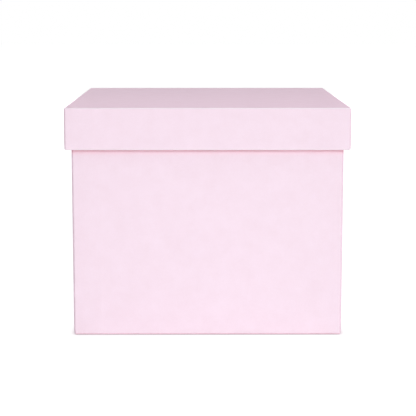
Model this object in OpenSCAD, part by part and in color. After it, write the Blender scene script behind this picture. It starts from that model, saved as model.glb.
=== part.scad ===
// A square flower box: a tray of paper-covered board under a lift-off lid of the same make.
// The origin is the middle of the underside, +Z is up and the front of the box faces -Y.
// All sizes are in millimetres.

/* [Lid] */
// Outer width of the lid, left to right, over its corner tapes
lid_w = 200; // [120:1:320]
// Outer depth of the lid, front to back, over its corner tapes
lid_d = 200; // [120:1:320]
// Height of the lid, from its lower edge to its top face
lid_h = 29.8; // [22:0.2:60]
// Play between the lid and the base, on each side
lid_play = 1.4; // [0.4:0.1:3]

/* [Box] */
// Height of the closed box, from its underside to its top face
box_h = 163; // [90:1:260]

/* [Board] */
// Thickness of the board
board_t = 2.5; // [1.8:0.1:4]
// Radius of the board at the upright corners
corner_r = 1.8; // [0.8:0.1:2.5]
// Radius of the board along its top and bottom edges
edge_r = 1.3; // [0.6:0.1:1.6]

/* [Covering paper] */
// Thickness of the covering paper
wrap_t = 0.2; // [0.1:0.05:0.4]
// How far the base's covering turns in over the rim and down the inside
base_turn_in = 18; // [12:1:30]
// How far the lid's covering turns in over its lower edge and up the inside
lid_turn_in = 13; // [11:1:15]
// How far the base's covering reaches in from the edges of the underside
turn_under = 15; // [8:1:30]

/* [Corner tape] */
// Thickness of the tape that joins the boards at a corner
stay_t = 0.1; // [0.05:0.05:0.2]
// Reach of a tape from its corner, along each wall
stay_leg = 20; // [10:1:40]
// Distance from the end of a tape to the edge of the board
stay_setback = 3; // [2:0.5:6]

/* [Lining paper] */
// Thickness of the lining and of the sheet beneath the base
lining_t = 0.2; // [0.1:0.05:0.4]
// Width of turned-in covering left bare between an open edge and the lining
lining_setback = 5; // [2:1:8]
// Distance from the sheet beneath the base to the edge of the underside
sheet_setback = 4; // [2:1:7]

/* [Hidden] */

$fn = 48;
// Length by which a cutting solid runs past what it cuts
over = 1;

PAPER_PINK = "#fbe3ef";
LINING_WHITE = "#f6f1ee";
BOARD_GREY = "#9a9388";
TAPE_KRAFT = "#b58f62";

// Paper that lies over the outside of a board at a taped corner
skin_t = wrap_t + stay_t;
// Whole thickness of the lid's skirt, where the lining laps over the turned-in covering
skirt_t = skin_t + board_t + wrap_t + lining_t;

// Boards of the lid: outline, height of their lower edge and of their top
lid_board_w = lid_w - 2 * skin_t;
lid_board_d = lid_d - 2 * skin_t;
lid_low = box_h - lid_h + wrap_t;
lid_high = box_h - wrap_t;
lid_ceiling = lid_high - board_t;

// Boards of the base: outline, height of their underside and of the rim
base_board_w = lid_w - 2 * (skirt_t + lid_play + skin_t);
base_board_d = lid_d - 2 * (skirt_t + lid_play + skin_t);
base_low = lining_t + wrap_t;
base_high = lid_ceiling - lining_t - wrap_t;
base_floor = base_low + board_t;

// A box centred on the Z axis, from height z0 to height z1
module centred_box(w, d, z0, z1) {
    translate([-w / 2, -d / 2, z0]) cube([w, d, z1 - z0]);
}

// A rectangle with round corners, centred on the origin
module round_rectangle(w, h, r) {
    square([w - 2 * r, h], center = true);
    square([w, h - 2 * r], center = true);
    for (x = [-1, 1], y = [-1, 1]) translate([x * (w / 2 - r), y * (h / 2 - r)]) circle(r = r);
}

// The round-edged block that a set of boards fills, grown outwards by the thickness of a skin
module block(w, d, z0, z1, skin) {
    full_w = w + 2 * skin;
    full_d = d + 2 * skin;
    full_h = z1 - z0 + 2 * skin;
    translate([0, 0, (z0 + z1) / 2]) intersection() {
        linear_extrude(height = full_h, center = true)
            round_rectangle(full_w, full_d, corner_r + skin);
        rotate([90, 0, 0]) linear_extrude(height = full_d, center = true)
            round_rectangle(full_w, full_h, edge_r + skin);
        rotate([90, 0, 90]) linear_extrude(height = full_w, center = true)
            round_rectangle(full_d, full_h, edge_r + skin);
    }
}

// Turns a front left corner's shape to the corner at side x (-1 left, 1 right) and y (-1 front, 1 back)
module at_corner(x, y) {
    mirror([x > 0 ? 1 : 0, 0, 0]) mirror([0, y > 0 ? 1 : 0, 0]) children();
}

// A block's front left corner, out to a reach along each wall and short of each end by a setback
module corner_piece(w, d, z0, z1, skin, reach, setback) {
    intersection() {
        block(w, d, z0, z1, skin);
        translate([-w / 2 - over, -d / 2 - over, z0 + setback])
            cube([reach + over, reach + over, z1 - z0 - 2 * setback]);
    }
}

// The tape over the front left corner of a set of boards
module stay(w, d, z0, z1) {
    difference() {
        corner_piece(w, d, z0, z1, stay_t, stay_leg, stay_setback);
        block(w, d, z0, z1, 0);
    }
}

// The covering over the outside of a set of boards, raised where a tape lies beneath it
module skin(w, d, z0, z1) {
    difference() {
        union() {
            block(w, d, z0, z1, wrap_t);
            for (x = [-1, 1], y = [-1, 1]) at_corner(x, y)
                corner_piece(w, d, z0, z1, skin_t, stay_leg + wrap_t, stay_setback - wrap_t);
        }
        block(w, d, z0, z1, 0);
        for (x = [-1, 1], y = [-1, 1]) at_corner(x, y)
            corner_piece(w, d, z0, z1, stay_t, stay_leg, stay_setback);
    }
}

// A band of paper against the inner faces of the walls, from height z0 to height z1
module inner_band(w, d, z0, z1, t) {
    difference() {
        centred_box(w - 2 * board_t, d - 2 * board_t, z0, z1);
        centred_box(w - 2 * (board_t + t), d - 2 * (board_t + t), z0 - over, z1 + over);
    }
}

// The front wall's board, between heights z0 and z1, before its edges are rounded
module front_slab(w, d, z0, z1) {
    translate([-w / 2, -d / 2, z0]) cube([w, board_t, z1 - z0]);
}

// The left wall's board, which fits between the front and back walls
module left_slab(w, d, z0, z1) {
    translate([-w / 2, board_t - d / 2, z0]) cube([board_t, d - 2 * board_t, z1 - z0]);
}

module base_block() {
    block(base_board_w, base_board_d, base_low, base_high, 0);
}

module base_front() {
    color(BOARD_GREY) intersection() {
        base_block();
        front_slab(base_board_w, base_board_d, base_low, base_high);
    }
}

module base_left() {
    color(BOARD_GREY) intersection() {
        base_block();
        left_slab(base_board_w, base_board_d, base_low, base_high);
    }
}

module base_floor_board() {
    color(BOARD_GREY)
        centred_box(base_board_w - 2 * board_t, base_board_d - 2 * board_t, base_low, base_floor);
}

module base_front_board() {
    base_front();
}

module base_back_board() {
    mirror([0, 1, 0]) base_front();
}

module base_left_board() {
    base_left();
}

module base_right_board() {
    mirror([1, 0, 0]) base_left();
}

module base_stay(x, y) {
    color(TAPE_KRAFT) at_corner(x, y) stay(base_board_w, base_board_d, base_low, base_high);
}

// One sheet: up the outside, over the rim, down the inside, and in under the floor
module base_wrap() {
    open_w = base_board_w - 2 * (board_t + wrap_t);
    open_d = base_board_d - 2 * (board_t + wrap_t);
    bare_w = base_board_w - 2 * turn_under;
    bare_d = base_board_d - 2 * turn_under;
    color(PAPER_PINK) {
        difference() {
            skin(base_board_w, base_board_d, base_low, base_high);
            centred_box(open_w, open_d, base_high - over, base_high + wrap_t + over);
            centred_box(bare_w, bare_d, -over, base_low + over);
        }
        inner_band(base_board_w, base_board_d, base_high - base_turn_in, base_high + wrap_t, wrap_t);
    }
}

// The strip round the inside, from the floor to a little below the rim, over the turned-in covering
module base_wall_lining() {
    lap = base_high - base_turn_in;
    edge = base_high + wrap_t - lining_setback;
    color(LINING_WHITE) difference() {
        union() {
            inner_band(base_board_w, base_board_d, base_floor, lap, lining_t);
            inner_band(base_board_w, base_board_d, lap - lining_t, edge, wrap_t + lining_t);
        }
        inner_band(base_board_w, base_board_d, lap, edge + over, wrap_t);
    }
}

module base_floor_lining() {
    inset = 2 * (board_t + lining_t);
    color(LINING_WHITE)
        centred_box(base_board_w - inset, base_board_d - inset, base_floor, base_floor + lining_t);
}

// The sheet beneath the floor: its border laps over the covering and its middle meets the board
module base_underside_sheet() {
    field_w = base_board_w - 2 * turn_under;
    field_d = base_board_d - 2 * turn_under;
    margin = 2 * sheet_setback;
    color(PAPER_PINK) difference() {
        union() {
            centred_box(base_board_w - margin, base_board_d - margin, 0, lining_t);
            centred_box(field_w, field_d, 0, base_low);
        }
        centred_box(field_w - 2 * lining_t, field_d - 2 * lining_t, -over, base_low - lining_t);
    }
}

module lid_block() {
    block(lid_board_w, lid_board_d, lid_low, lid_high, 0);
}

module lid_front() {
    color(BOARD_GREY) intersection() {
        lid_block();
        front_slab(lid_board_w, lid_board_d, lid_low, lid_ceiling);
    }
}

module lid_left() {
    color(BOARD_GREY) intersection() {
        lid_block();
        left_slab(lid_board_w, lid_board_d, lid_low, lid_ceiling);
    }
}

module lid_top_board() {
    color(BOARD_GREY) intersection() {
        lid_block();
        centred_box(lid_board_w, lid_board_d, lid_ceiling, lid_high);
    }
}

module lid_front_board() {
    lid_front();
}

module lid_back_board() {
    mirror([0, 1, 0]) lid_front();
}

module lid_left_board() {
    lid_left();
}

module lid_right_board() {
    mirror([1, 0, 0]) lid_left();
}

module lid_stay(x, y) {
    color(TAPE_KRAFT) at_corner(x, y) stay(lid_board_w, lid_board_d, lid_low, lid_high);
}

// One sheet: over the top, down the outside, and up the inside of the skirt
module lid_wrap() {
    open_w = lid_board_w - 2 * (board_t + wrap_t);
    open_d = lid_board_d - 2 * (board_t + wrap_t);
    color(PAPER_PINK) {
        difference() {
            skin(lid_board_w, lid_board_d, lid_low, lid_high);
            centred_box(open_w, open_d, lid_low - wrap_t - over, lid_low + over);
        }
        inner_band(lid_board_w, lid_board_d, lid_low - wrap_t, lid_low + lid_turn_in, wrap_t);
    }
}

// The sheet under the lid's top, whose sides run down the skirt and lap over the turned-in covering
module lid_lining() {
    lap = lid_low + lid_turn_in;
    edge = lid_low - wrap_t + lining_setback;
    inside_w = lid_board_w - 2 * board_t;
    inside_d = lid_board_d - 2 * board_t;
    color(LINING_WHITE) {
        difference() {
            union() {
                inner_band(lid_board_w, lid_board_d, lap, lid_ceiling, lining_t);
                inner_band(lid_board_w, lid_board_d, edge, lap + lining_t, wrap_t + lining_t);
            }
            inner_band(lid_board_w, lid_board_d, edge - over, lap, wrap_t);
        }
        centred_box(inside_w, inside_d, lid_ceiling - lining_t, lid_ceiling);
    }
}

base_floor_board();
base_front_board();
base_back_board();
base_left_board();
base_right_board();
base_stay(-1, -1);  // base_stay_front_left
base_stay(1, -1);  // base_stay_front_right
base_stay(-1, 1);  // base_stay_back_left
base_stay(1, 1);  // base_stay_back_right
base_wrap();
base_wall_lining();
base_floor_lining();
base_underside_sheet();
lid_top_board();
lid_front_board();
lid_back_board();
lid_left_board();
lid_right_board();
lid_stay(-1, -1);  // lid_stay_front_left
lid_stay(1, -1);  // lid_stay_front_right
lid_stay(-1, 1);  // lid_stay_back_left
lid_stay(1, 1);  // lid_stay_back_right
lid_wrap();
lid_lining();
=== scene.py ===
# %% [markdown]
# # Dressing a paper-covered flower box
#
# The real thing is a square tray under a lift-off lid. Both are grey board, taped at the corners and
# wrapped in a sheet of pink paper that turns in over the open edges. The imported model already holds
# every board, tape and sheet at its real size. This lesson gives the sheets that show their folds,
# seams and soft edges, gives every piece a finish, and lights the box for its picture.
#
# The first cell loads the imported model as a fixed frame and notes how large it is.

# %% Load the frame
import math

import bmesh
import bpy
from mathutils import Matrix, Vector


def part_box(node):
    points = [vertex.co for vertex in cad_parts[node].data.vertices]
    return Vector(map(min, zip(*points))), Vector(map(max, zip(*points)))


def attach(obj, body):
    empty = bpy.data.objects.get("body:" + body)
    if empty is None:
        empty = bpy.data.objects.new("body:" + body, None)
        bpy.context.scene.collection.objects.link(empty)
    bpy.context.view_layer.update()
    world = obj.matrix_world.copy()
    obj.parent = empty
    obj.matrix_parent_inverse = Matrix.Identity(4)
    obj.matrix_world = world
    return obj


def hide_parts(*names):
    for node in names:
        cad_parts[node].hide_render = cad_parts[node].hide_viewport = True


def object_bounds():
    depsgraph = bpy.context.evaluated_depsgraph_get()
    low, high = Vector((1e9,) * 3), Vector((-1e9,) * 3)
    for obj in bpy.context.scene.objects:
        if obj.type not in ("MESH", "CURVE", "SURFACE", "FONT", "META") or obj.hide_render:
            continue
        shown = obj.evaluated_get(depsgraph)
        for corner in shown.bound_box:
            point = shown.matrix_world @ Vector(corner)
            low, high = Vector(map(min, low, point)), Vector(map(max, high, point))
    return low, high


MM = 0.001

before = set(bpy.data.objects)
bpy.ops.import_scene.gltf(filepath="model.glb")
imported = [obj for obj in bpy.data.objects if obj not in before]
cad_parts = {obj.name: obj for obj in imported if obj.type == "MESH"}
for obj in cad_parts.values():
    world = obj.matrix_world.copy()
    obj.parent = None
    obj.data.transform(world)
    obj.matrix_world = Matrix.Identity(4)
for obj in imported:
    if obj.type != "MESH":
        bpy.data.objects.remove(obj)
cad_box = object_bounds()
print("frame:", len(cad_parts), "nodes,",
      [round(x / MM, 2) for x in cad_box[1] - cad_box[0]], "mm")

# %% [markdown]
# ## Sizes
#
# Nothing is measured twice: board, paper and tape thickness, the heights of the folds and the reach of
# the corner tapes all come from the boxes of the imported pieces. A paper box is mostly thin layers, so
# it pays to name each layer once and add them up.

# %% Read the layers from the frame
def lowest(name):
    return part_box(name)[0]


def highest(name):
    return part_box(name)[1]


BOARD = highest("base_floor_board").z - lowest("base_floor_board").z
PAPER = highest("lid_wrap").z - highest("lid_top_board").z
LINING = highest("base_floor_lining").z - lowest("base_floor_lining").z
TAPE = highest("lid_wrap").x - highest("lid_front_board").x - PAPER
print("layers in mm:", [round(t / MM, 3) for t in (BOARD, PAPER, LINING, TAPE)])

# %% [markdown]
# ## Camera
#
# The box is seen from the front and a little above, with a long lens from 0.8 m away. Tilting the
# camera down makes upright edges lean together, so part of the framing is done by shifting the lens,
# as a studio photographer would. The rest is a tilt of a few degrees.

# %% Place the camera
CAMERA_PLACE = (-0.0031, -0.9327, 0.2344)
CAMERA_TILT = math.radians(7.69)
CAMERA_TURN = math.radians(-0.23)
CAMERA_LENS = 104.3
CAMERA_SHIFT = -0.10

bpy.ops.object.select_all(action="DESELECT")
bpy.ops.object.camera_add(location=CAMERA_PLACE,
                          rotation=(math.radians(90) - CAMERA_TILT, 0, CAMERA_TURN))
camera = bpy.context.object
camera.name = "camera"
camera.data.lens = CAMERA_LENS
camera.data.shift_y = CAMERA_SHIFT
bpy.context.scene.camera = camera
print("camera:", camera.data.lens, "mm lens at", CAMERA_PLACE)

# %% [markdown]
# ## Helpers for nodes
#
# Every finish below is a small tree of nodes. One function adds a node, sets it up and links it, so a
# finish reads as a list of what it is made of. Colours are written as the hex values a designer would
# pick on a screen, and one function turns them into the linear numbers that Blender works in.

# %% Add a node, turn a colour to linear
def linear(hex_colour):
    channels = [int(hex_colour[k:k + 2], 16) / 255 for k in (1, 3, 5)]
    return [c / 12.92 if c <= 0.04045 else ((c + 0.055) / 1.055) ** 2.4 for c in channels] + [1.0]


def add_node(tree, kind, settings, inputs):
    """Adds a node with its properties and its inputs, each a value or a socket to link from."""
    node = tree.nodes.new(kind)
    for name, value in settings.items():
        setattr(node, name, value)
    for name, value in inputs.items():
        if isinstance(value, bpy.types.NodeSocket):
            tree.links.new(value, node.inputs[name])
        else:
            node.inputs[name].default_value = value
    return node


def empty_material(name):
    material = bpy.data.materials.new(name)
    material.use_nodes = True
    material.node_tree.nodes.clear()
    return material, material.node_tree


# The sockets of a Mix node, which has a set for each type of value
FACTOR, NUMBER_A, NUMBER_B, COLOUR_A, COLOUR_B = 0, 2, 3, 6, 7
MIXED = 2

# %% [markdown]
# ## Floor and background
#
# A pale studio sweep should read as plain white, yet still show where the box stands. The light on
# the box must not be turned up for that. So the camera sees the world as white, and it sees the floor
# as mostly its own white light with a smaller share that takes light and shadow. That own light fades
# in the last few millimetres before the box, since a thin line of contact shadow is what makes a
# thing look as if it stands. Every other ray sees an ordinary pale floor, which bounces a soft light
# up at the walls of the box.

# %% Make the floor and the world
WHITE = "#ffffff"
FLOOR_SIZE = 12.0
FLOOR_WHITE = "#f4f3f3"
FLOOR_OWN_LIGHT = 0.945
FLOOR_LIT_SHARE = "#898888"
CONTACT_REACH = 5 * MM
CONTACT_TINT = "#fff4fb"
CONTACT_LIGHT = 0.36
# How many short rays find out how open a point lies
OPENNESS_RAYS = 8
DOME_TINT = "#fffdfd"
DOME_STRENGTH = 0.24


def seen_directly(tree):
    """1 for what the camera sees directly or by a mirror or glass, 0 for light that falls on things."""
    rays = add_node(tree, "ShaderNodeLightPath", {}, {})
    mirrored = add_node(tree, "ShaderNodeMath", {"operation": "MAXIMUM"},
                        {0: rays.outputs["Is Glossy Ray"], 1: rays.outputs["Is Transmission Ray"]})
    either = add_node(tree, "ShaderNodeMath", {"operation": "MAXIMUM"},
                      {0: rays.outputs["Is Camera Ray"], 1: mirrored.outputs[0]})
    return either.outputs[0]


def pale_studio_floor():
    material, tree = empty_material("pale_studio_floor")
    bounced = add_node(tree, "ShaderNodeBsdfDiffuse", {}, {"Color": linear(FLOOR_WHITE)})
    # 1 in the open, less where the box covers part of the view
    open_floor = add_node(tree, "ShaderNodeAmbientOcclusion", {"samples": OPENNESS_RAYS},
                          {"Distance": CONTACT_REACH}).outputs["AO"]
    strength = add_node(tree, "ShaderNodeMapRange", {},
                        {"Value": open_floor, "To Min": CONTACT_LIGHT, "To Max": FLOOR_OWN_LIGHT})
    tint = add_node(tree, "ShaderNodeMix", {"data_type": "RGBA"},
                    {FACTOR: open_floor, COLOUR_A: linear(CONTACT_TINT), COLOUR_B: linear(WHITE)})
    own_light = add_node(tree, "ShaderNodeEmission", {},
                         {"Color": tint.outputs[MIXED], "Strength": strength.outputs[0]})
    lit_share = add_node(tree, "ShaderNodeBsdfDiffuse", {}, {"Color": linear(FLOOR_LIT_SHARE)})
    seen = add_node(tree, "ShaderNodeAddShader", {}, {0: own_light.outputs[0], 1: lit_share.outputs[0]})
    mixed = add_node(tree, "ShaderNodeMixShader", {},
                     {0: seen_directly(tree), 1: bounced.outputs[0], 2: seen.outputs[0]})
    add_node(tree, "ShaderNodeOutputMaterial", {}, {"Surface": mixed.outputs[0]})
    return material


bpy.ops.object.select_all(action="DESELECT")
bpy.ops.mesh.primitive_plane_add(size=FLOOR_SIZE, location=(0, 0, 0))
floor = bpy.context.object
floor.name = "floor"
floor.data.materials.append(pale_studio_floor())

world = bpy.data.worlds.new("studio_dome")
world.use_nodes = True
world.node_tree.nodes.clear()
white_sweep = add_node(world.node_tree, "ShaderNodeBackground", {},
                       {"Color": linear(WHITE), "Strength": 1.0})
dome = add_node(world.node_tree, "ShaderNodeBackground", {},
                {"Color": linear(DOME_TINT), "Strength": DOME_STRENGTH})
sky = add_node(world.node_tree, "ShaderNodeMixShader", {},
               {0: seen_directly(world.node_tree), 1: dome.outputs[0], 2: white_sweep.outputs[0]})
add_node(world.node_tree, "ShaderNodeOutputWorld", {}, {"Surface": sky.outputs[0]})
bpy.context.scene.world = world
bpy.context.scene.view_settings.view_transform = "Standard"
print("floor and dome made")

# %% [markdown]
# ## Light
#
# The main light is a wide softbox in front, to the right and not far above the lid. Its low angle
# keeps the shadow under the lid down to a thin line, its small height keeps that line crisp, and the
# folds on the left turn softly away from it. It stands well back, so both ends of a wall get the same
# light. A strip hangs close over the front of the lid, so that the top fades a little towards the
# back, and a low card by the floor stops the lower half from going dull. Three weaker softboxes light
# the sides and the back, because the box is looked at from all round.
#
# The fill lamps have faint tints, like gels: a little magenta above and at the sides, where white
# light makes pale pink look grey, and a little cyan low down, where the paper's own bounced light is
# rosy already.
#
# An area lamp of power P at distance d lights a wall that faces it by about P / (pi * pi * d * d),
# where 1 shows a colour as it is written, so each lamp's power is worked out from the share of light
# that it should give.

# %% Hang the softboxes
BOX_MIDDLE = (cad_box[0] + cad_box[1]) / 2
ABOVE_TINT = "#fff0fd"
SIDE_TINT = "#fff3fe"
LOW_TINT = "#edfffe"


def softbox(name, place, width, height, share, tint):
    """An area lamp that faces the box and gives it a share of full light."""
    towards = BOX_MIDDLE - Vector(place)
    bpy.ops.object.select_all(action="DESELECT")
    bpy.ops.object.light_add(type="AREA", location=place,
                             rotation=towards.to_track_quat("-Z", "Y").to_euler())
    lamp = bpy.context.object
    lamp.name = name
    lamp.data.shape = "RECTANGLE"
    lamp.data.size, lamp.data.size_y = width, height
    lamp.data.energy = share * math.pi ** 2 * towards.length_squared
    lamp.data.color = linear(tint)[:3]
    print(name, round(lamp.data.energy, 1), "W")


softbox("front_softbox", (1.71, -3.84, 1.77), 2.2, 0.8, 0.348, WHITE)
softbox("strip_over_the_lid", (0.05, -0.18, 0.47), 0.9, 0.2, 0.275, ABOVE_TINT)
softbox("low_fill_card", (0.03, -0.45, 0.027), 0.55, 0.05, 0.24, LOW_TINT)
softbox("right_softbox", (2.1, 0.15, 0.50), 1.2, 0.8, 0.26, SIDE_TINT)
softbox("left_softbox", (-1.6, 1.40, 0.50), 1.2, 0.8, 0.22, SIDE_TINT)
softbox("back_softbox", (-0.3, 2.1, 0.42), 1.6, 0.6, 0.40, SIDE_TINT)

# %% [markdown]
# ## Pink covering paper
#
# The covering is uncoated paper dyed in the pulp, about 0.2 mm thick. Close up the eye sees a soft
# unevenness where the fibres clumped as the sheet was made, a fine tooth, and next to no gloss. Noise
# in Object coordinates makes them, since paper has no print to follow. Its fibres are near 0.1 mm,
# too fine to show, so the tooth is drawn coarser.
#
# Folds and gaps get three tones more, which are painted light and shade. The level folds get a paler
# painted highlight, where light catches the turn of the edge. Round an upright corner a painted shade
# makes the paper a little deeper, where the fold turns away from the light. In a narrow gap, such as
# the one under the lid's edge, light bounces from pink to pink and comes back rosier than the paper
# is, and that rosy shade is painted in too. The first two masks come from the way that the surface
# faces, which needs no painting by hand, and the third from how much of the open view is covered.

# %% Make the covering paper
CLUMPS = 9 * MM
CLUMP_DETAIL = 4.0
TOOTH = 1.1 * MM
TOOTH_DETAIL = 3.0
TOOTH_TANGLE = 1.2
TOOTH_DEPTH = 0.03 * MM
# How much of the unevenness is tooth, and the values between which most of a noise lies
TOOTH_SHARE = 0.45
NOISE_MIDDLE = {"From Min": 0.25, "From Max": 0.75}
PAPER_IOR = 1.45
# Loose fibres scatter nearly all that a smooth surface would mirror
PAPER_GLOSS = 0.1
ROUGHNESS_EITHER_WAY = 0.05
# The largest part of a normal that points along no axis, from a flat face to well round a fold
BENT = (0.995, 0.94)
# The upward or downward part of a normal, from an upright fold to a level one
LEVEL_FOLD = (0.1, 0.4)
# The painted highlight leaves out the fold that the box stands on, which lies in contact shade
OFF_THE_TABLE = (3 * MM, 6 * MM)
# Painted shade on the upright corner folds, which turn away from the light
CORNER_SHADE_TINT = "#f3eef1"
SHELTER_REACH = 5 * MM
# How open a point lies where the painted rosy shade begins, and where it is full
SHELTERED = (0.70, 0.15)


def folds(tree, place, normal):
    """Masks for painted light: a highlight on level folds off the table, and shade round upright
    corners.
    """
    sizes = add_node(tree, "ShaderNodeVectorMath", {"operation": "ABSOLUTE"}, {0: normal})
    x, y, z = add_node(tree, "ShaderNodeSeparateXYZ", {}, {0: sizes.outputs[0]}).outputs
    larger = add_node(tree, "ShaderNodeMath", {"operation": "MAXIMUM"}, {0: x, 1: y})
    largest = add_node(tree, "ShaderNodeMath", {"operation": "MAXIMUM"}, {0: larger.outputs[0], 1: z})
    height = add_node(tree, "ShaderNodeSeparateXYZ", {}, {0: place}).outputs["Z"]
    ramps = [(largest.outputs[0], BENT), (z, LEVEL_FOLD), (z, LEVEL_FOLD[::-1]),
             (height, OFF_THE_TABLE)]
    bent, level, upright, lifted = [
        add_node(tree, "ShaderNodeMapRange", {}, {"Value": value, "From Min": start, "From Max": end})
        for value, (start, end) in ramps]
    level_fold, corner_fold = [
        add_node(tree, "ShaderNodeMath", {"operation": "MULTIPLY"},
                 {0: bent.outputs[0], 1: way.outputs[0]})
        for way in (level, upright)]
    # Painted highlight: the level folds, but not the fold that the box stands on
    highlight_mask = add_node(tree, "ShaderNodeMath", {"operation": "MULTIPLY"},
                      {0: level_fold.outputs[0], 1: lifted.outputs[0]})
    return highlight_mask.outputs[0], corner_fold.outputs[0]


def uncoated_paper(name, clear_tone, clumped_tone, highlight_tone, shelter_tint, roughness):
    """Two tones of one dye mixed by clumps and tooth, painted light and shade at folds and gaps, and a
    fine bump.
    """
    material, tree = empty_material(name)
    coordinates = add_node(tree, "ShaderNodeTexCoord", {}, {})
    place = coordinates.outputs["Object"]
    clumps = add_node(tree, "ShaderNodeTexNoise", {},
                      {"Vector": place, "Scale": 1 / CLUMPS, "Detail": CLUMP_DETAIL})
    tooth = add_node(tree, "ShaderNodeTexNoise", {},
                     {"Vector": place, "Scale": 1 / TOOTH, "Detail": TOOTH_DETAIL,
                      "Distortion": TOOTH_TANGLE})
    both = add_node(tree, "ShaderNodeMix", {"data_type": "FLOAT"},
                    {FACTOR: TOOTH_SHARE, NUMBER_A: clumps.outputs["Fac"],
                     NUMBER_B: tooth.outputs["Fac"]})
    uneven = add_node(tree, "ShaderNodeMapRange", {}, {"Value": both.outputs[0], **NOISE_MIDDLE})
    tone = add_node(tree, "ShaderNodeMix", {"data_type": "RGBA"},
                    {FACTOR: uneven.outputs[0],
                     COLOUR_A: linear(clear_tone), COLOUR_B: linear(clumped_tone)})
    level_fold, corner_fold = folds(tree, place, coordinates.outputs["Normal"])
    # Painted highlight along the level folds
    highlighted = add_node(tree, "ShaderNodeMix", {"data_type": "RGBA"},
                       {FACTOR: level_fold,
                        COLOUR_A: tone.outputs[MIXED], COLOUR_B: linear(highlight_tone)})
    # Painted shade round the upright corners
    corner_shaded = add_node(tree, "ShaderNodeMix", {"data_type": "RGBA", "blend_type": "MULTIPLY"},
                         {FACTOR: corner_fold, COLOUR_A: highlighted.outputs[MIXED],
                          COLOUR_B: linear(CORNER_SHADE_TINT)})
    # Painted rosy shade in gaps, where light bounced from pink to pink comes back rosier
    # The view that counts leans upwards, so a gap overhead shelters the paper and the floor doesn't
    geometry = add_node(tree, "ShaderNodeNewGeometry", {}, {})
    leaning = add_node(tree, "ShaderNodeVectorMath", {"operation": "ADD"},
                       {0: geometry.outputs["Normal"], 1: (0, 0, 1)})
    upward = add_node(tree, "ShaderNodeVectorMath", {"operation": "NORMALIZE"}, {0: leaning.outputs[0]})
    openness = add_node(tree, "ShaderNodeAmbientOcclusion", {"samples": OPENNESS_RAYS},
                        {"Distance": SHELTER_REACH, "Normal": upward.outputs[0]})
    sheltered = add_node(tree, "ShaderNodeMapRange", {},
                         {"Value": openness.outputs["AO"],
                          "From Min": SHELTERED[0], "From Max": SHELTERED[1]})
    shaded = add_node(tree, "ShaderNodeMix", {"data_type": "RGBA", "blend_type": "MULTIPLY"},
                      {FACTOR: sheltered.outputs[0], COLOUR_A: corner_shaded.outputs[MIXED],
                       COLOUR_B: linear(shelter_tint)})
    dull = add_node(tree, "ShaderNodeMapRange", {},
                    {"Value": both.outputs[0], **NOISE_MIDDLE,
                     "To Min": roughness - ROUGHNESS_EITHER_WAY,
                     "To Max": roughness + ROUGHNESS_EITHER_WAY})
    bump = add_node(tree, "ShaderNodeBump", {},
                    {"Strength": 1.0, "Distance": TOOTH_DEPTH, "Height": tooth.outputs["Fac"]})
    shader = add_node(tree, "ShaderNodeBsdfPrincipled", {},
                      {"Base Color": shaded.outputs[MIXED], "Roughness": dull.outputs[0],
                       "IOR": PAPER_IOR, "Specular IOR Level": PAPER_GLOSS, "Normal": bump.outputs[0]})
    add_node(tree, "ShaderNodeOutputMaterial", {}, {"Surface": shader.outputs[0]})
    return material


# Each paper gets a painted highlight for its level folds and a painted rosy shade for its gaps
pink_paper = uncoated_paper("dyed_uncoated_paper_pink", clear_tone="#fae4f0", clumped_tone="#f5dde8",
                            highlight_tone="#fcedf5", shelter_tint="#ffcad0", roughness=0.75)
white_paper = uncoated_paper("uncoated_paper_warm_white", clear_tone="#f8f4f1", clumped_tone="#f2ede9",
                             highlight_tone="#fbf8f6", shelter_tint="#f6eeea", roughness=0.8)
print("papers:", pink_paper.name, white_paper.name)

# %% [markdown]
# ## Board and tape
#
# Inside the paper sit grey board, pressed from recycled pulp, and gummed kraft tape. Neither shows
# on the finished box, but they show when it is taken apart, so they get real finishes too. Greyboard
# has flecks where scraps of print and brown board didn't dissolve. Kraft tape has long fibres that lie
# along the strip, so its noise is stretched that way.

# %% Make the board and the tape
PULP_DETAIL = 5.0
PULP_TANGLE = 0.6
PULP_DEPTH = 0.06 * MM
FLECKS = 1.6 * MM
# How far from a fleck's middle it fades, in shares of its cell, and how strong it is at most
FLECK_FADE = (0.1, 0.3)
FLECK_STRENGTH = 0.5
BOARD_ROUGHNESS = 0.9
KRAFT_STREAKS = 2.5 * MM
# A streak is this share as dense along the tape as across it
STREAK_SHARE = 0.15
STREAK_DEPTH = 0.02 * MM
TAPE_ROUGHNESS = 0.55


def recycled_greyboard():
    """Grey board: pressed mixed pulp with darker and lighter flecks."""
    material, tree = empty_material("recycled_greyboard")
    place = add_node(tree, "ShaderNodeTexCoord", {}, {}).outputs["Object"]
    pulp = add_node(tree, "ShaderNodeTexNoise", {},
                    {"Vector": place, "Scale": 1 / CLUMPS, "Detail": PULP_DETAIL,
                     "Distortion": PULP_TANGLE})
    cells = add_node(tree, "ShaderNodeTexVoronoi", {"feature": "F1"},
                     {"Vector": place, "Scale": 1 / FLECKS})
    flecks = add_node(tree, "ShaderNodeMapRange", {},
                      {"Value": cells.outputs["Distance"], "From Min": FLECK_FADE[0],
                       "From Max": FLECK_FADE[1], "To Min": FLECK_STRENGTH, "To Max": 0.0})
    base = add_node(tree, "ShaderNodeMix", {"data_type": "RGBA"},
                    {FACTOR: pulp.outputs["Fac"],
                     COLOUR_A: linear("#a39c91"), COLOUR_B: linear("#8c857a")})
    tone = add_node(tree, "ShaderNodeMix", {"data_type": "RGBA"},
                    {FACTOR: flecks.outputs[0],
                     COLOUR_A: base.outputs[MIXED], COLOUR_B: linear("#5e5851")})
    bump = add_node(tree, "ShaderNodeBump", {},
                    {"Strength": 1.0, "Distance": PULP_DEPTH, "Height": pulp.outputs["Fac"]})
    shader = add_node(tree, "ShaderNodeBsdfPrincipled", {},
                      {"Base Color": tone.outputs[MIXED], "Roughness": BOARD_ROUGHNESS,
                       "IOR": PAPER_IOR, "Normal": bump.outputs[0]})
    add_node(tree, "ShaderNodeOutputMaterial", {}, {"Surface": shader.outputs[0]})
    return material


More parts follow.
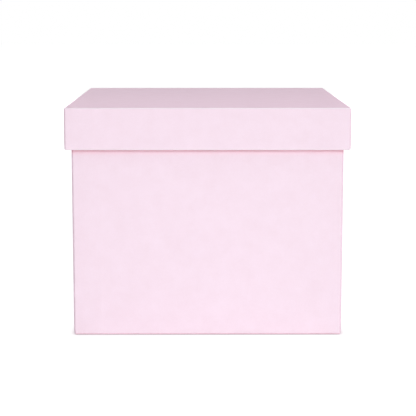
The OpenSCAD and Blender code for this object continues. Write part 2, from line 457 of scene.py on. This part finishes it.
def gummed_kraft_tape():
    """Brown kraft paper with long fibres that run up the tape."""
    material, tree = empty_material("gummed_kraft_tape")
    place = add_node(tree, "ShaderNodeTexCoord", {}, {}).outputs["Object"]
    along = add_node(tree, "ShaderNodeMapping", {},
                     {"Vector": place, "Scale": (1.0, 1.0, STREAK_SHARE)})
    streaks = add_node(tree, "ShaderNodeTexNoise", {},
                       {"Vector": along.outputs[0], "Scale": 1 / KRAFT_STREAKS, "Detail": PULP_DETAIL})
    tone = add_node(tree, "ShaderNodeMix", {"data_type": "RGBA"},
                    {FACTOR: streaks.outputs["Fac"],
                     COLOUR_A: linear("#c29d70"), COLOUR_B: linear("#a67f54")})
    bump = add_node(tree, "ShaderNodeBump", {},
                    {"Strength": 1.0, "Distance": STREAK_DEPTH, "Height": streaks.outputs["Fac"]})
    shader = add_node(tree, "ShaderNodeBsdfPrincipled", {},
                      {"Base Color": tone.outputs[MIXED], "Roughness": TAPE_ROUGHNESS,
                       "IOR": PAPER_IOR, "Normal": bump.outputs[0]})
    add_node(tree, "ShaderNodeOutputMaterial", {}, {"Surface": shader.outputs[0]})
    return material


FINISHES = {
    "board": recycled_greyboard(),
    "stay": gummed_kraft_tape(),
    "wrap": pink_paper,
    "sheet": pink_paper,
    "lining": white_paper,
}


def give_finish(piece, material):
    piece.data.materials.clear()
    piece.data.materials.append(material)


for name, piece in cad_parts.items():
    kind = next(word for word in FINISHES if word in name)
    give_finish(piece, FINISHES[kind])
print("finishes given to", len(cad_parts), "packed pieces")

# %% [markdown]
# ## Helpers for folding paper
#
# Each sheet is made as a model maker would fold it: a block as large as the boards, its ends pulled in
# over the edges, its corners rounded, then cut in rows where the paper has to bend. An operator works
# on whatever is selected, so one helper selects by place, and every step starts from nothing selected.

# %% Start a block, choose parts of it, cut rows
NEAR = 0.001 * MM


def start_block(name, low, high):
    """A block between two corners, in edit mode, whose place is in its mesh."""
    bpy.ops.object.select_all(action="DESELECT")
    middle, size = (low + high) / 2, high - low
    bpy.ops.mesh.primitive_cube_add(size=1, location=middle, scale=size)
    bpy.ops.object.transform_apply(location=True, rotation=True, scale=True)
    piece = bpy.context.object
    piece.name = name
    bpy.ops.object.mode_set(mode="EDIT")
    return piece


def choose(piece, what, wanted):
    """Selects only the verts, edges or faces that a test accepts."""
    bpy.ops.mesh.select_mode(type=what)
    bpy.ops.mesh.select_all(action="DESELECT")
    shape = bmesh.from_edit_mesh(piece.data)
    for part in {"VERT": shape.verts, "EDGE": shape.edges, "FACE": shape.faces}[what]:
        if wanted(part):
            part.select_set(True)
    shape.select_flush_mode()
    bmesh.update_edit_mesh(piece.data)


def reach(point):
    """How far a point is from the upright middle line, measured square to the walls."""
    return max(abs(point.x), abs(point.y))


def along_wall(point):
    """How far along its wall a point is from the wall's middle."""
    return min(abs(point.x), abs(point.y))


def is_upright(edge):
    a, b = (v.co for v in edge.verts)
    return abs(a.x - b.x) < NEAR and abs(a.y - b.y) < NEAR


def is_level_at(edge, height, out_to, in_to):
    """True for an edge at one height whose ends are both between two reaches."""
    return all(abs(v.co.z - height) < NEAR and in_to - NEAR < reach(v.co) < out_to + NEAR
               for v in edge.verts)


def cut_rows(piece, axis, places):
    """Cuts the whole piece across at each place along an axis."""
    normal = Vector((axis == "x", axis == "y", axis == "z"))
    for place in places:
        bpy.ops.mesh.select_all(action="SELECT")
        bpy.ops.mesh.bisect(plane_co=normal * place, plane_no=normal, threshold=NEAR)


def finish_piece(piece, material, body, slot, *nodes):
    """Back to object mode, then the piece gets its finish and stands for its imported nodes."""
    if bpy.context.object.mode == "EDIT":
        bpy.ops.object.mode_set(mode="OBJECT")
    give_finish(piece, material)
    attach(piece, body)
    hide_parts(*nodes)
    print(piece.name, "has", len(piece.data.polygons), "faces")


# %% [markdown]
# ## Helpers for bending paper
#
# Paper over board is never quite flat. It rises over a tape, steps down where one flap laps over
# another, and follows a board that has bowed a little. Each of these is a small push along the
# surface's own normals, with a Displace modifier, strongest where a weight says so. The weight is
# worked out from a point's place, so the same push fits the lid and the tray.

# %% Push a surface in or out, give a sheet its thickness
SMOOTH_UP_TO = math.radians(32)


def ease(value, start, end):
    """0 at start, 1 at end and a soft slope between them. Start may be the larger."""
    share = min(max((value - start) / (end - start), 0.0), 1.0)
    return share * share * (3 - 2 * share)


def apply_modifiers(piece):
    bpy.context.view_layer.objects.active = piece
    for name in [m.name for m in piece.modifiers]:
        bpy.ops.object.modifier_apply(modifier=name)


def push(piece, name, depth, weight_at, texture=None):
    """Moves the surface along its normals by a depth, times a weight worked out from a point's place."""
    group = piece.vertex_groups.new(name=name)
    for vertex in piece.data.vertices:
        weight = weight_at(vertex.co)
        if weight > 0:
            group.add([vertex.index], weight, "REPLACE")
    bend = piece.modifiers.new(name, "DISPLACE")
    bend.vertex_group = group.name
    bend.strength = depth
    bend.mid_level = 0
    bend.texture = texture
    bend.texture_coords = "LOCAL"
    apply_modifiers(piece)
    piece.vertex_groups.clear()


def thicken(piece, thickness, even=True):
    """Gives a sheet its thickness on the board's side, then shading that keeps flat faces flat."""
    sheet = piece.modifiers.new("thickness", "SOLIDIFY")
    sheet.thickness = thickness
    sheet.offset = -1
    sheet.use_even_offset = even
    apply_modifiers(piece)
    bpy.ops.object.select_all(action="DESELECT")
    piece.select_set(True)
    bpy.ops.object.shade_smooth_by_angle(angle=SMOOTH_UP_TO)
    weighted = piece.modifiers.new("flat_faces_first", "WEIGHTED_NORMAL")
    weighted.keep_sharp = True
    apply_modifiers(piece)


# %% [markdown]
# ## How a covering turns in
#
# At each open end the paper folds over the board's edge and runs a little way along the inner face.
# A block is a good start, because its end face can be inset and drawn in to the inner face, corner by
# corner, so that the rounded outer corner meets the nearly sharp inner one with clean quads between.
# Extruding from there makes the flap, and the face that closed it is deleted.

# %% Turn a sheet in at an open end
UPRIGHT_RADIUS = 1.5 * MM
EDGE_RADIUS = 1.35 * MM
FOLD_STEPS = 8
INNER_RADIUS = 0.6 * MM
INNER_EDGE_RADIUS = 0.5 * MM
INNER_EDGE_STEPS = 3
CORNERS = [(x, y) for x in (-1, 1) for y in (-1, 1)]
# How much less a rounded corner's middle reaches than the walls beside it
CORNER_CUT = 0.3
# The upright part of a level face's normal is at least this
LEVEL_ENOUGH = 0.9


def is_end_face(face, height, out_to):
    within = all(abs(v.co.z - height) < NEAR and reach(v.co) < out_to + NEAR for v in face.verts)
    return within and abs(face.normal.z) > LEVEL_ENOUGH


def turn_in(piece, height, half, new_half, new_radius, turn):
    """Draws an end face in from the wall's outer face to a new reach, then runs it along by turn."""
    choose(piece, "FACE", lambda f: is_end_face(f, height, half))
    step = UPRIGHT_RADIUS / 2
    bpy.ops.mesh.inset(thickness=step)
    for x, y in CORNERS:
        choose(piece, "VERT", lambda v: (abs(v.co.z - height) < NEAR
                                         and reach(v.co) < half - step + NEAR
                                         and v.co.x * x > 0 and v.co.y * y > 0))
        old = Vector((x, y, 0)) * (half - UPRIGHT_RADIUS) + Vector((0, 0, height))
        new = Vector((x, y, 0)) * (new_half - new_radius) + Vector((0, 0, height))
        bpy.ops.transform.resize(value=(new_radius / step, new_radius / step, 1), center_override=old)
        bpy.ops.transform.translate(value=new - old)
    choose(piece, "FACE", lambda f: is_end_face(f, height, new_half))
    if turn:
        bpy.ops.mesh.extrude_region_move(TRANSFORM_OT_translate={"value": (0, 0, turn)})
    bpy.ops.mesh.delete(type="ONLY_FACE")


def round_rim(piece, height, half, corner_radius, radius, steps):
    """Rounds the ring of edges at one height that has this reach and these corners."""
    ring = half - CORNER_CUT * corner_radius
    choose(piece, "EDGE", lambda e: is_level_at(e, height, half, ring))
    bpy.ops.mesh.bevel(offset=radius, segments=steps, profile=0.5, affect="EDGES", clamp_overlap=False)


def round_uprights(piece, half, radius, steps):
    choose(piece, "EDGE", lambda e: is_upright(e) and all(reach(v.co) > half - NEAR for v in e.verts))
    bpy.ops.mesh.bevel(offset=radius, segments=steps, profile=0.5, affect="EDGES", clamp_overlap=False)


# %% [markdown]
# ## What shows through the covering
#
# Four things show through a thin paper. The gummed tapes at the corners raise it by a tenth of
# a millimetre as far as they reach. Where two flaps meet near a corner the upper one ends in a cut
# edge, a small step down. Where the paper turns over an edge at a corner it is cut on the slant, and
# the mitre shows as a fine groove. And the board has a slow swell of its own, which a soft noise
# gives. Rows are cut first, so that each of these has edges to bend along.

# %% Tapes, laps, mitres and swell
TAPE_SLOPE = 1.8 * MM
TAPE_SLOPE_ROWS = (-0.5, -0.17, 0.17, 0.5)
SEAM_FROM_CORNER = 2.6 * MM
SEAM_STEP = 0.07 * MM
SEAM_DEPTH = 0.11 * MM
MITRE_DEPTH = 0.1 * MM
SWELL_DEPTH = 0.16 * MM
SWELL_AT_FOLDS = 0.3
SWELL_LENGTH = 70 * MM
SWELL_FADE = SWELL_LENGTH / 4
LAP_FADE = math.radians(45)
ROW_SPACING = 12 * MM

board_swell = bpy.data.textures.new("board_swell", "CLOUDS")
board_swell.noise_scale = SWELL_LENGTH
board_swell.noise_depth = 1


def even_rows(low, high):
    """Places between two limits, both included, about one row spacing apart."""
    count = max(1, round((high - low) / ROW_SPACING))
    return [low + (high - low) * k / count for k in range(count + 1)]


def slope_rows(place):
    return [place + TAPE_SLOPE * k for k in TAPE_SLOPE_ROWS]


def cover_rows(piece, half, tape_end, tape_low, tape_high):
    """Cuts a covering into rows that follow the tapes' ends and are even elsewhere."""
    middle = even_rows(TAPE_SLOPE - tape_end, tape_end - TAPE_SLOPE)
    sides = [(tape_end + half) / 2] + slope_rows(tape_end)
    seams = [half - SEAM_FROM_CORNER, half - SEAM_FROM_CORNER - SEAM_STEP]
    both_ways = middle + sides + [-place for place in sides]
    cut_rows(piece, "x", both_ways + seams + [-place for place in seams])
    cut_rows(piece, "y", both_ways + seams + [-place for place in seams])
    cut_rows(piece, "z", slope_rows(tape_low) + slope_rows(tape_high)
             + even_rows(tape_low + TAPE_SLOPE, tape_high - TAPE_SLOPE))


def is_outer(point, half):
    return reach(point) > half - CORNER_CUT * UPRIGHT_RADIUS - NEAR


def over_tape(point, half, tape_end, tape_low, tape_high):
    """1 where a covering lies over a corner tape, 0 away from it."""
    if not is_outer(point, half):
        return 0.0
    edge = TAPE_SLOPE / 2
    sideways = ease(along_wall(point), tape_end - edge, tape_end + edge)
    upwards = ease(point.z, tape_low - edge, tape_low + edge)
    return sideways * upwards * ease(point.z, tape_high + edge, tape_high - edge)


def under_lap(across, along, half):
    """1 between a lap's cut edge and the corner on the wall that faces across. Past it, it fades."""
    seam = half - SEAM_FROM_CORNER
    centre = half - UPRIGHT_RADIUS
    if across < centre or along < seam - SEAM_STEP / 2:
        return 0.0
    if along <= centre:
        return 1.0
    return ease(math.atan2(along - centre, across - centre), LAP_FADE, 0.0)


def swell_at(point, half, low, high):
    """1 on the outer faces, less along the folds, where two boards hold each other, and 0 inside."""
    from_folds = sorted((half - abs(point.x), half - abs(point.y), point.z - low, high - point.z))
    if from_folds[0] > EDGE_RADIUS:
        return 0.0
    return ease(from_folds[1], EDGE_RADIUS, SWELL_FADE) * (1 - SWELL_AT_FOLDS) + SWELL_AT_FOLDS


def on_mitre(point):
    return abs(abs(point.x) - abs(point.y)) < NEAR


# %% [markdown]
# ## The lid's covering
#
# One sheet: a square top, and four flaps that fold down the skirt, under its edge and up inside. The
# front and back flaps have tabs that wrap round the corners, and the side flaps lap over these tabs.
# So each side wall has a cut edge just behind each corner, and the front shows none.

# %% Fold the lid's covering
LID_TURN_IN = 13 * MM
LID_BOARD_HALF = highest("lid_front_board").x
LID_HALF = LID_BOARD_HALF + PAPER
LID_LOW, LID_TOP = lowest("lid_wrap").z, highest("lid_wrap").z
LID_INSIDE = LID_BOARD_HALF - BOARD - PAPER
LID_TAPE_END = -highest("lid_stay_front_left").x - PAPER
LID_TAPE_LOW = lowest("lid_stay_front_left").z - PAPER
LID_TAPE_HIGH = highest("lid_stay_front_left").z + PAPER

lid_sheet = start_block("lid_covering", Vector((-LID_HALF, -LID_HALF, LID_LOW)),
                        Vector((LID_HALF, LID_HALF, LID_TOP)))
round_uprights(lid_sheet, LID_HALF, UPRIGHT_RADIUS, FOLD_STEPS)
turn_in(lid_sheet, LID_LOW, LID_HALF, LID_INSIDE, INNER_RADIUS, LID_TURN_IN + PAPER)
round_rim(lid_sheet, LID_LOW, LID_HALF, UPRIGHT_RADIUS, EDGE_RADIUS, FOLD_STEPS)
round_rim(lid_sheet, LID_LOW, LID_INSIDE, INNER_RADIUS, INNER_EDGE_RADIUS, INNER_EDGE_STEPS)
round_rim(lid_sheet, LID_TOP, LID_HALF, UPRIGHT_RADIUS, EDGE_RADIUS, FOLD_STEPS)
cover_rows(lid_sheet, LID_HALF, LID_TAPE_END, LID_TAPE_LOW, LID_TAPE_HIGH)
bpy.ops.object.mode_set(mode="OBJECT")


def lid_lap(point):
    """The side flaps lap over the tabs at all four corners, from the top fold down and inside."""
    if point.z > LID_LOW + LID_TURN_IN and not is_outer(point, LID_HALF):
        return 0.0
    below_fold = ease(point.z, LID_TOP, LID_TOP - 2 * EDGE_RADIUS)
    return under_lap(abs(point.x), abs(point.y), LID_HALF) * below_fold


def lid_mitre(point):
    turned = point.z < LID_LOW + EDGE_RADIUS or reach(point) < LID_INSIDE + NEAR
    return 1.0 if on_mitre(point) and turned and point.z < LID_TAPE_HIGH else 0.0


push(lid_sheet, "tapes", TAPE,
     lambda p: over_tape(p, LID_HALF, LID_TAPE_END, LID_TAPE_LOW, LID_TAPE_HIGH))
push(lid_sheet, "laps", -SEAM_DEPTH, lid_lap)
push(lid_sheet, "mitres", -MITRE_DEPTH, lid_mitre)
push(lid_sheet, "swell", -SWELL_DEPTH,
     lambda p: swell_at(p, LID_HALF, LID_LOW, LID_TOP), board_swell)
thicken(lid_sheet, PAPER)
finish_piece(lid_sheet, pink_paper, "lid", "pink_paper", "lid_wrap")

# %% [markdown]
# ## The tray's covering
#
# Here the sheet is a long strip. It runs round the four walls and its end laps over its start just
# behind one corner at the back, where it shows least. It turns in over the rim, down the inside, and
# under the floor at the bottom.

# %% Fold the tray's covering
TRAY_TURN_IN = 18 * MM
TRAY_TURN_UNDER = 15 * MM
TRAY_BOARD_HALF = highest("base_front_board").x
TRAY_HALF = TRAY_BOARD_HALF + PAPER
TRAY_LOW, TRAY_RIM = lowest("base_wrap").z, highest("base_wrap").z
TRAY_INSIDE = TRAY_BOARD_HALF - BOARD - PAPER
TRAY_TAPE_END = -highest("base_stay_front_left").x - PAPER
TRAY_TAPE_LOW = lowest("base_stay_front_left").z - PAPER
TRAY_TAPE_HIGH = highest("base_stay_front_left").z + PAPER

tray_sheet = start_block("tray_covering", Vector((-TRAY_HALF, -TRAY_HALF, TRAY_LOW)),
                         Vector((TRAY_HALF, TRAY_HALF, TRAY_RIM)))
round_uprights(tray_sheet, TRAY_HALF, UPRIGHT_RADIUS, FOLD_STEPS)
turn_in(tray_sheet, TRAY_RIM, TRAY_HALF, TRAY_INSIDE, INNER_RADIUS, -TRAY_TURN_IN - PAPER)
turn_in(tray_sheet, TRAY_LOW, TRAY_HALF, TRAY_BOARD_HALF - TRAY_TURN_UNDER, INNER_RADIUS, 0)
round_rim(tray_sheet, TRAY_RIM, TRAY_HALF, UPRIGHT_RADIUS, EDGE_RADIUS, FOLD_STEPS)
round_rim(tray_sheet, TRAY_RIM, TRAY_INSIDE, INNER_RADIUS, INNER_EDGE_RADIUS, INNER_EDGE_STEPS)
round_rim(tray_sheet, TRAY_LOW, TRAY_HALF, UPRIGHT_RADIUS, EDGE_RADIUS, FOLD_STEPS)
cover_rows(tray_sheet, TRAY_HALF, TRAY_TAPE_END, TRAY_TAPE_LOW, TRAY_TAPE_HIGH)
bpy.ops.object.mode_set(mode="OBJECT")


def tray_lap(point):
    """The strip's end laps over its start on the back wall, beside the back left corner."""
    outside = is_outer(point, TRAY_HALF) or point.z > TRAY_TAPE_HIGH
    return under_lap(point.y, -point.x, TRAY_HALF) if outside else 0.0


def tray_mitre(point):
    at_rim = point.z > TRAY_RIM - EDGE_RADIUS or reach(point) < TRAY_INSIDE + NEAR
    at_foot = point.z < TRAY_LOW + EDGE_RADIUS
    return 1.0 if on_mitre(point) and (at_rim or at_foot) else 0.0


push(tray_sheet, "tapes", TAPE,
     lambda p: over_tape(p, TRAY_HALF, TRAY_TAPE_END, TRAY_TAPE_LOW, TRAY_TAPE_HIGH))
push(tray_sheet, "laps", -SEAM_DEPTH, tray_lap)
push(tray_sheet, "mitres", -MITRE_DEPTH, tray_mitre)
push(tray_sheet, "swell", -SWELL_DEPTH,
     lambda p: swell_at(p, TRAY_HALF, TRAY_LOW, TRAY_RIM), board_swell)
thicken(tray_sheet, PAPER)
finish_piece(tray_sheet, pink_paper, "box_base", "pink_paper", "base_wrap")

# %% [markdown]
# ## The linings
#
# White paper hides the boards inside. It stops a little short of each open edge, and it lies over the
# turned-in pink, whose edge shows through as a low step. A block with its ends removed and its faces
# flipped to look inwards is the quickest way to a band that hugs the walls.

# %% Line the tray and the lid
LINING_CORNER = 0.8 * MM
LINING_CORNER_STEPS = 4
LAP_SLOPE = 1.6 * MM


def lining_rows(piece, half, low, high, lap):
    """Even rows, and closer ones where the lining comes down off the turned-in flap."""
    cut_rows(piece, "x", even_rows(-half + ROW_SPACING, half - ROW_SPACING))
    cut_rows(piece, "y", even_rows(-half + ROW_SPACING, half - ROW_SPACING))
    cut_rows(piece, "z", even_rows(low + ROW_SPACING, high - ROW_SPACING)
             + [lap + LAP_SLOPE * k for k in TAPE_SLOPE_ROWS])


def line_walls(name, half, low, high, lap, flap_side, closed_top):
    """A band of lining round the inside, which stands off the board by the flap it lies over."""
    piece = start_block(name, Vector((-half, -half, low)), Vector((half, half, high)))
    open_ends = [low] if closed_top else [low, high]
    choose(piece, "FACE", lambda f: any(is_end_face(f, end, half) for end in open_ends))
    bpy.ops.mesh.delete(type="ONLY_FACE")
    bpy.ops.mesh.select_all(action="SELECT")
    bpy.ops.mesh.flip_normals()
    round_uprights(piece, half, LINING_CORNER, LINING_CORNER_STEPS)
    if closed_top:
        round_rim(piece, high, half, LINING_CORNER, LINING_CORNER / 2, LINING_CORNER_STEPS)
    lining_rows(piece, half, low, high, lap)
    bpy.ops.object.mode_set(mode="OBJECT")
    wall, ceiling = half - LINING_CORNER, high - LINING_CORNER if closed_top else high + NEAR

    def off_the_flap(p):
        on_wall = reach(p) > wall and p.z < ceiling
        return ease((p.z - lap) * flap_side, LAP_SLOPE / 2, -LAP_SLOPE / 2) if on_wall else 0.0

    push(piece, "off_the_flap", -PAPER, off_the_flap)
    thicken(piece, LINING, even=False)
    return piece


tray_lining = line_walls("tray_wall_lining", TRAY_INSIDE - LINING, lowest("base_wall_lining").z,
                         highest("base_wall_lining").z, TRAY_RIM - PAPER - TRAY_TURN_IN, 1, False)
finish_piece(tray_lining, white_paper, "box_base", "lining_paper", "base_wall_lining")
lid_lining = line_walls("lid_lining_sheet", LID_INSIDE - LINING, lowest("lid_lining").z,
                        highest("lid_lining").z - LINING, LID_LOW + PAPER + LID_TURN_IN, -1, True)
finish_piece(lid_lining, white_paper, "lid", "lining_paper", "lid_lining")

# %% Note the CAD box and finish
print("CAD box:", [list(corner) for corner in cad_box])
